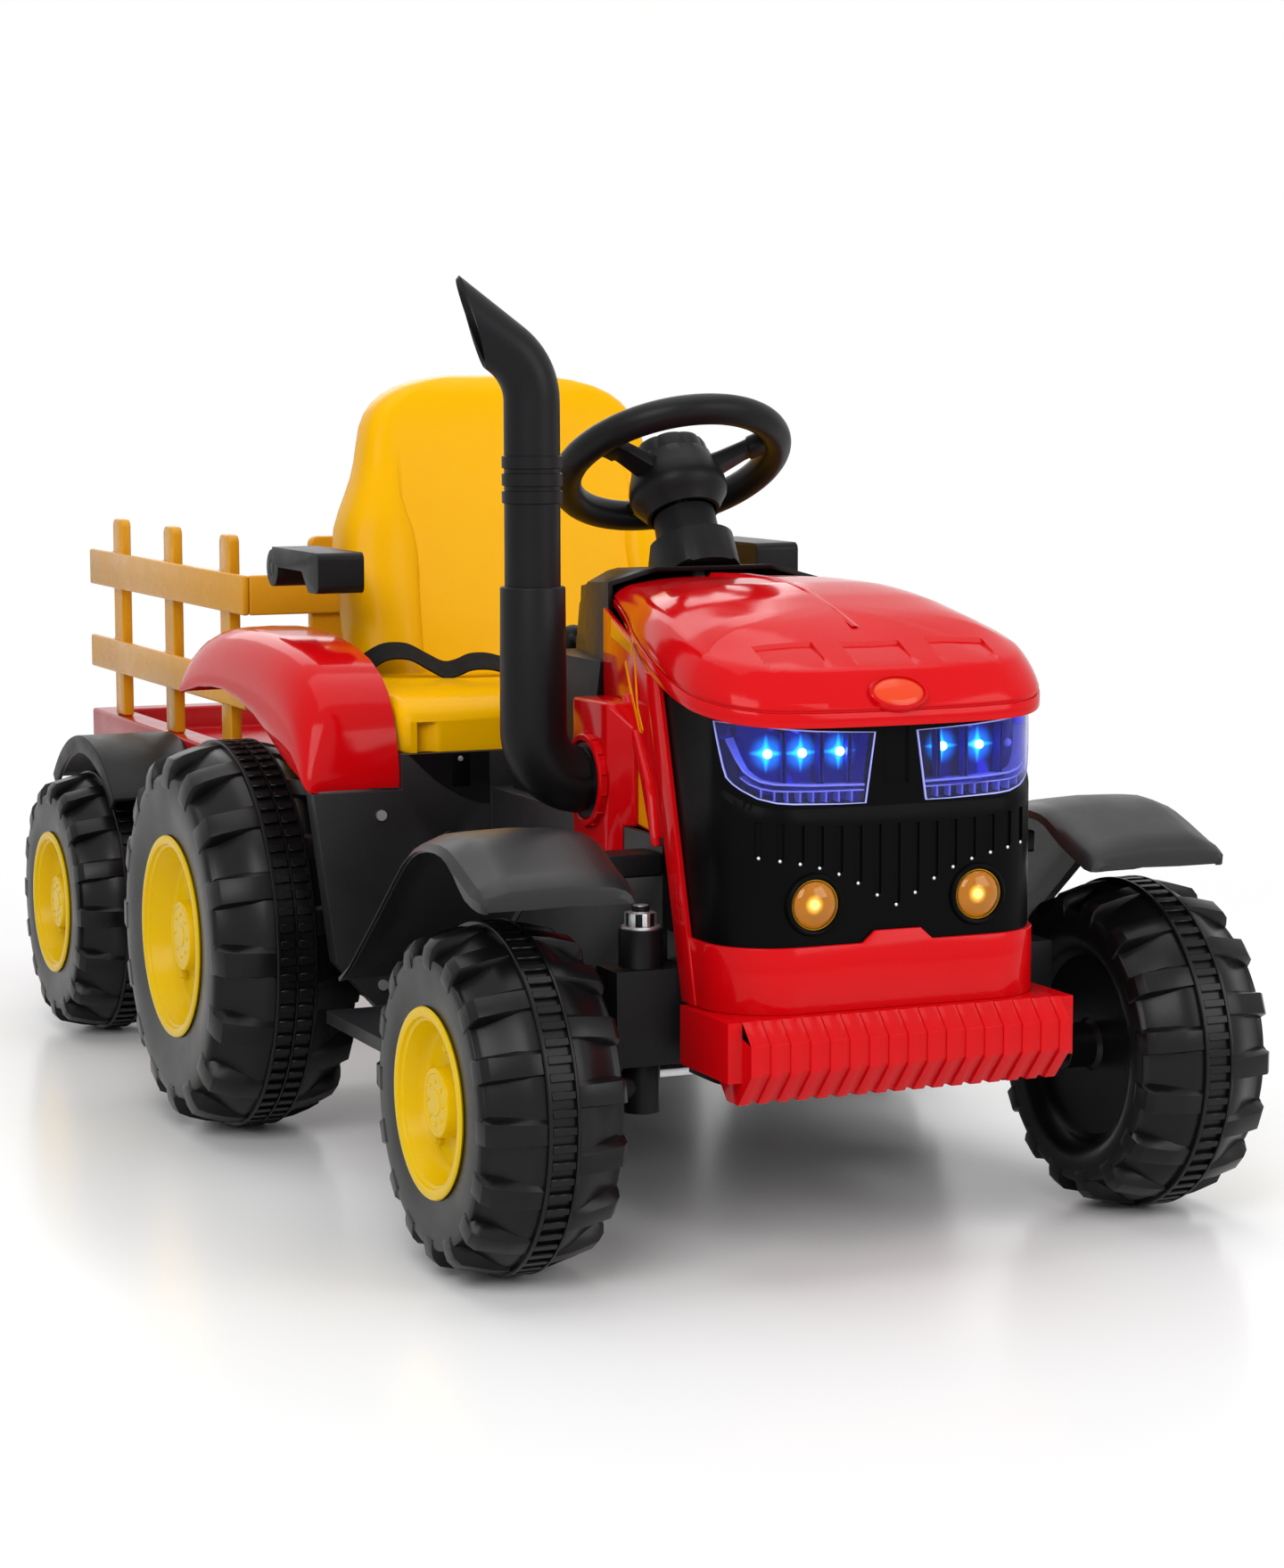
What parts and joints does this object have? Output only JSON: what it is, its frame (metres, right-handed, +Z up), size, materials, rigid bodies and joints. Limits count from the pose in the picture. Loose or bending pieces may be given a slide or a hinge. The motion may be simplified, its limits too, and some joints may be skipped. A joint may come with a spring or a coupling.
{
  "type": "ride on tractor toy",
  "caption": "Battery ride-on toy tractor with a steering column, seat with lifting armrests, exhaust stack, ribbed bumper and a fenced trailer on a tow pin.",
  "frame": {"origin": "on the ground, under the middle of the overall length and width", "axes": "+Z up, the tractor faces -Y, its driver's left is +X"},
  "size_m": [0.644, 1.3746, 0.66],
  "materials": {
    "red_gloss_plastic": "glossy red moulding",
    "yellow_gloss_plastic": "glossy yellow moulding",
    "black_matte_plastic": "satin black moulding",
    "black_gloss_plastic": "glossy black moulding",
    "tyre_black_plastic": "blow-moulded black plastic",
    "violet_lens": "tinted clear plastic",
    "reflector_silver": "bright metallised plastic",
    "blue_led": "lit diode",
    "amber_chrome_plastic": "amber metallised plastic",
    "zinc_steel": "zinc plated",
    "black_webbing": "woven webbing",
    "grey_plastic": "grey moulding",
    "button_red_plastic": "glossy red button"
  },
  "bodies": {
    "tractor": {"chassis_shell": "black_matte_plastic", "belly_pan": "black_matte_plastic", "dash_console": "black_matte_plastic", "hood": "red_gloss_plastic", "nose_frame": "red_gloss_plastic", "grille": "black_matte_plastic", "bumper": "red_gloss_plastic", "headlamp_lenses": "violet_lens", "headlamp_reflectors": "reflector_silver", "headlamp_leds": "blue_led", "fog_lamp_lenses": "amber_chrome_plastic", "side_panel_left": "red_gloss_plastic", "side_panel_right": "red_gloss_plastic", "exhaust_mount": "red_gloss_plastic", "exhaust_elbow": "black_matte_plastic", "exhaust_stack": "black_matte_plastic", "front_fender_left": "black_matte_plastic", "front_fender_right": "black_matte_plastic", "rear_fender_left": "red_gloss_plastic", "rear_fender_right": "red_gloss_plastic", "seat": "yellow_gloss_plastic", "seat_belt": "black_webbing", "front_axle_beam": "black_matte_plastic", "rear_axle": "zinc_steel", "gearboxes": "grey_plastic", "drive_motors": "zinc_steel", "battery": "grey_plastic", "charge_socket": "black_gloss_plastic", "tow_hitch": "black_matte_plastic", "body_screws": "zinc_steel"},
    "steering": {"steering_wheel": "black_matte_plastic", "steering_shaft": "zinc_steel"},
    "horn": {"horn_button": "black_gloss_plastic"},
    "power": {"power_button": "button_red_plastic"},
    "lever": {"gear_lever": "black_gloss_plastic"},
    "pedal": {"accelerator_pedal": "black_matte_plastic"},
    "armrest_left_body": {"armrest_left": "black_matte_plastic"},
    "armrest_right_body": {"armrest_right": "black_matte_plastic"},
    "knuckle_left_body": {"knuckle_left": "zinc_steel"},
    "knuckle_right_body": {"knuckle_right": "zinc_steel"},
    "tie_rod_body": {"tie_rod": "zinc_steel"},
    "trailer": {"trailer_tray": "red_gloss_plastic", "trailer_fence_left": "yellow_gloss_plastic", "trailer_fence_right": "yellow_gloss_plastic", "trailer_fence_front": "yellow_gloss_plastic", "trailer_drawbar": "black_matte_plastic", "trailer_fenders": "black_matte_plastic", "trailer_axle": "black_matte_plastic"},
    "front_wheel_left_body": {"front_wheel_left": "tyre_black_plastic", "front_rim_left": "yellow_gloss_plastic"},
    "front_wheel_right_body": {"front_wheel_right": "tyre_black_plastic", "front_rim_right": "yellow_gloss_plastic"},
    "rear_wheel_left_body": {"rear_wheel_left": "tyre_black_plastic", "rear_rim_left": "yellow_gloss_plastic"},
    "rear_wheel_right_body": {"rear_wheel_right": "tyre_black_plastic", "rear_rim_right": "yellow_gloss_plastic"},
    "trailer_wheel_left_body": {"trailer_wheel_left": "tyre_black_plastic", "trailer_rim_left": "yellow_gloss_plastic"},
    "trailer_wheel_right_body": {"trailer_wheel_right": "tyre_black_plastic", "trailer_rim_right": "yellow_gloss_plastic"}
  },
  "joints": [
    {"name": "steering_turn", "type": "hinge", "parent": "tractor", "child": "steering", "pos_m": [0, -0.29675, 0.527], "axis": [0, 0.515, 0.8572], "range_deg": [-50, 50]},
    {"name": "knuckle_left_turn", "type": "hinge", "parent": "tractor", "child": "knuckle_left_body", "pos_m": [0.14, -0.55975, 0.118], "axis": [0, 0, 1], "range_deg": [-22, 22]},
    {"name": "knuckle_right_turn", "type": "hinge", "parent": "tractor", "child": "knuckle_right_body", "pos_m": [-0.14, -0.55975, 0.118], "axis": [0, 0, 1], "range_deg": [-22, 22]},
    {"name": "tie_rod_slide", "type": "slide", "parent": "tractor", "child": "tie_rod_body", "axis": [1, 0, 0], "range_m": [-0.02, 0.02]},
    {"name": "front_left_spin", "type": "hinge", "parent": "knuckle_left_body", "child": "front_wheel_left_body", "pos_m": [0.243, -0.55975, 0.118], "axis": [1, 0, 0], "continuous": true},
    {"name": "rear_left_spin", "type": "hinge", "parent": "tractor", "child": "rear_wheel_left_body", "pos_m": [0.262, -0.03875, 0.1535], "axis": [1, 0, 0], "continuous": true},
    {"name": "trailer_left_spin", "type": "hinge", "parent": "trailer", "child": "trailer_wheel_left_body", "pos_m": [0.253, 0.40725, 0.118], "axis": [1, 0, 0], "continuous": true},
    {"name": "armrest_left_lift", "type": "hinge", "parent": "tractor", "child": "armrest_left_body", "pos_m": [0.189, 0.03025, 0.438], "axis": [-1, 0, 0], "range_deg": [0, 80]},
    {"name": "front_right_spin", "type": "hinge", "parent": "knuckle_right_body", "child": "front_wheel_right_body", "pos_m": [-0.243, -0.55975, 0.118], "axis": [1, 0, 0], "continuous": true},
    {"name": "rear_right_spin", "type": "hinge", "parent": "tractor", "child": "rear_wheel_right_body", "pos_m": [-0.262, -0.03875, 0.1535], "axis": [1, 0, 0], "continuous": true},
    {"name": "trailer_right_spin", "type": "hinge", "parent": "trailer", "child": "trailer_wheel_right_body", "pos_m": [-0.253, 0.40725, 0.118], "axis": [1, 0, 0], "continuous": true},
    {"name": "armrest_right_lift", "type": "hinge", "parent": "tractor", "child": "armrest_right_body", "pos_m": [-0.189, 0.03025, 0.438], "axis": [-1, 0, 0], "range_deg": [0, 80]},
    {"name": "trailer_yaw", "type": "hinge", "parent": "tractor", "child": "trailer", "pos_m": [0, 0.12025, 0.195], "axis": [0, 0, 1], "range_deg": [-15, 15]},
    {"name": "horn_press", "type": "slide", "parent": "steering", "child": "horn", "axis": [0, -0.515, -0.8572], "range_m": [0, 0.003], "stiffness_N_per_m": 700, "springref_m": -0.002},
    {"name": "power_press", "type": "slide", "parent": "tractor", "child": "power", "axis": [0, -1, 0], "range_m": [0, 0.002], "stiffness_N_per_m": 700, "springref_m": -0.002},
    {"name": "pedal_press", "type": "hinge", "parent": "tractor", "child": "pedal", "pos_m": [-0.183, -0.28375, 0.128], "axis": [1, 0, 0], "range_deg": [0, 10], "stiffness_Nm_per_rad": 1, "springref_deg": -6.88},
    {"name": "lever_tilt", "type": "hinge", "parent": "tractor", "child": "lever", "pos_m": [-0.046, -0.27375, 0.392], "axis": [1, 0, 0], "range_deg": [-10, 10]}
  ],
  "couplings": [
    {"joint": "knuckle_left_turn", "follows": "steering_turn", "ratio": 0.44},
    {"joint": "knuckle_right_turn", "follows": "steering_turn", "ratio": 0.44},
    {"joint": "tie_rod_slide", "follows": "steering_turn", "m_per_rad": -0.02288}
  ]
}
